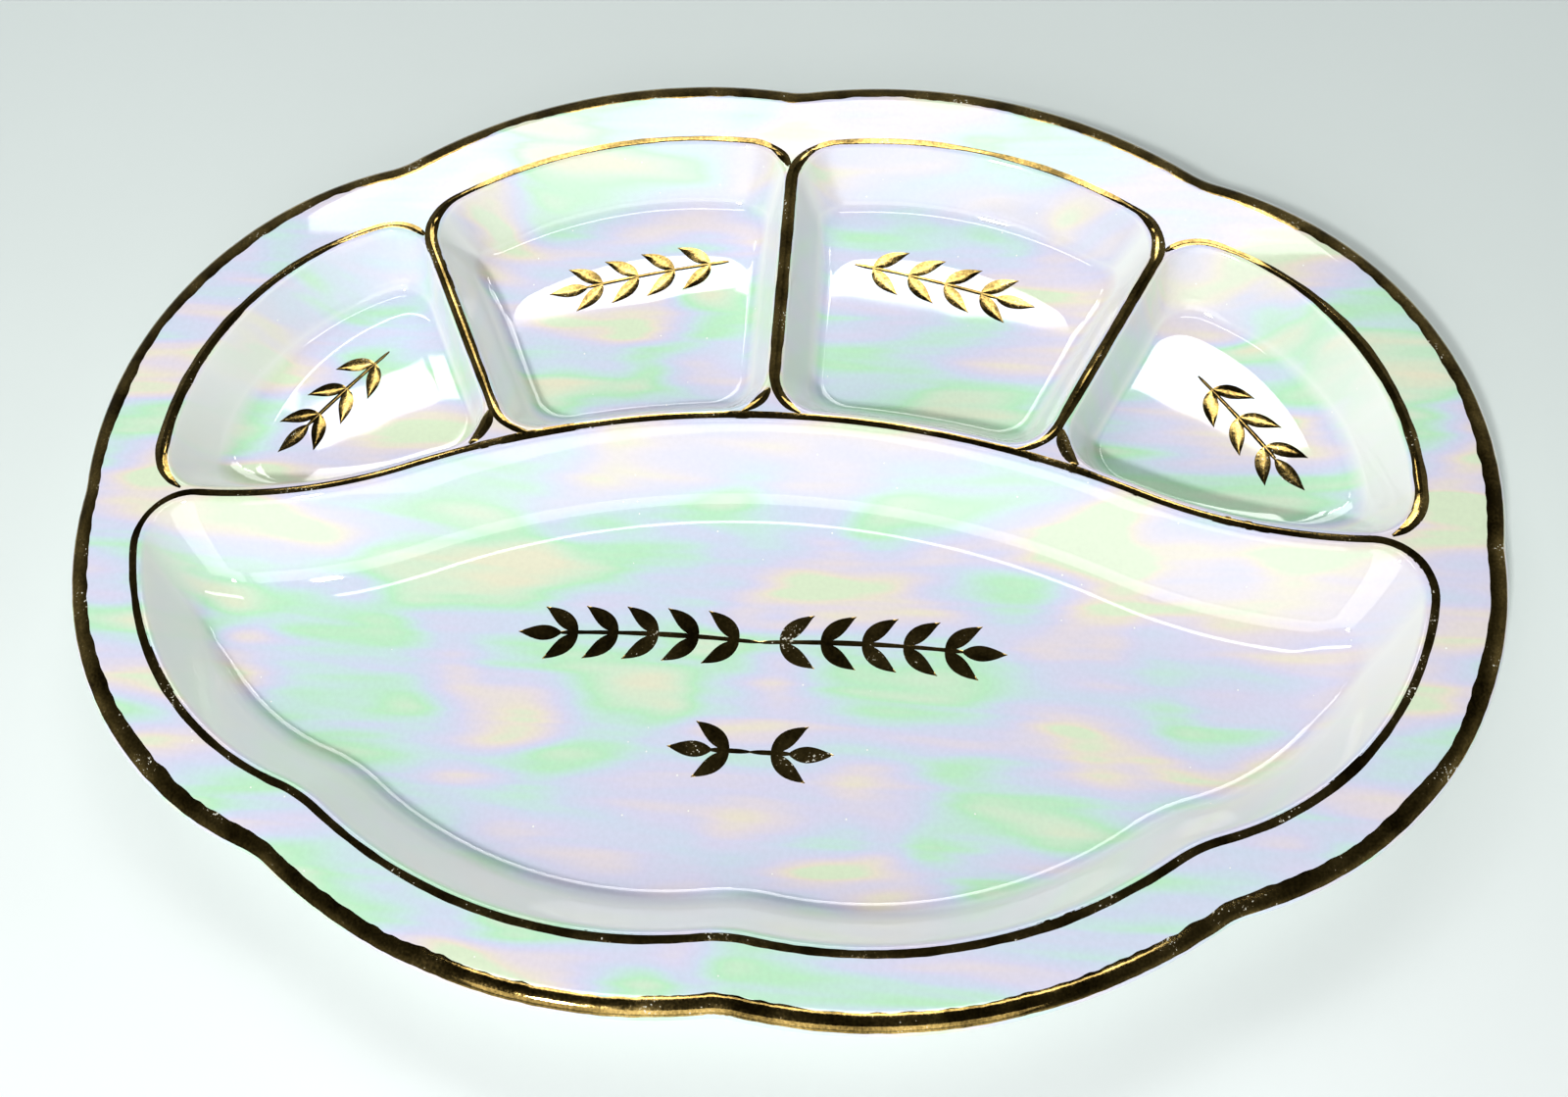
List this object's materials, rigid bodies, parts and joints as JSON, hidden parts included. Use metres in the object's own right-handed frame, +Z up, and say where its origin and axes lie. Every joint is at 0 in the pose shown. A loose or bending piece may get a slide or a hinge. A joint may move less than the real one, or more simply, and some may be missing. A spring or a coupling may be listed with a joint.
{
  "type": "seder plate",
  "caption": "Oval lobed porcelain seder plate with a large front well, smaller wells behind a bowed ridge, and gilded rim, well lines and leaf sprigs.",
  "frame": {"origin": "centre of the plate on the surface that it stands on", "axes": "+X along the plate to the right, +Y to the back where the small wells are, +Z up"},
  "size_m": [0.38, 0.271, 0.0272],
  "materials": {
    "porcelain": "clear glaze with a mother-of-pearl lustre in pale lilac, green and peach",
    "bisque": "unglazed, ground flat",
    "gold": "burnished gilding, brushed on by hand, worn along the edge"
  },
  "bodies": {
    "root": {"plate_body": "porcelain", "foot_ring": "bisque", "rim_gilding": "gold", "large_well_line": "gold", "right_inner_well_line": "gold", "left_inner_well_line": "gold", "right_outer_well_line": "gold", "left_outer_well_line": "gold", "large_well_sprig": "gold", "right_inner_well_sprig": "gold", "left_inner_well_sprig": "gold", "right_outer_well_sprig": "gold", "left_outer_well_sprig": "gold", "large_well_small_sprig": "gold"}
  },
  "joints": []
}
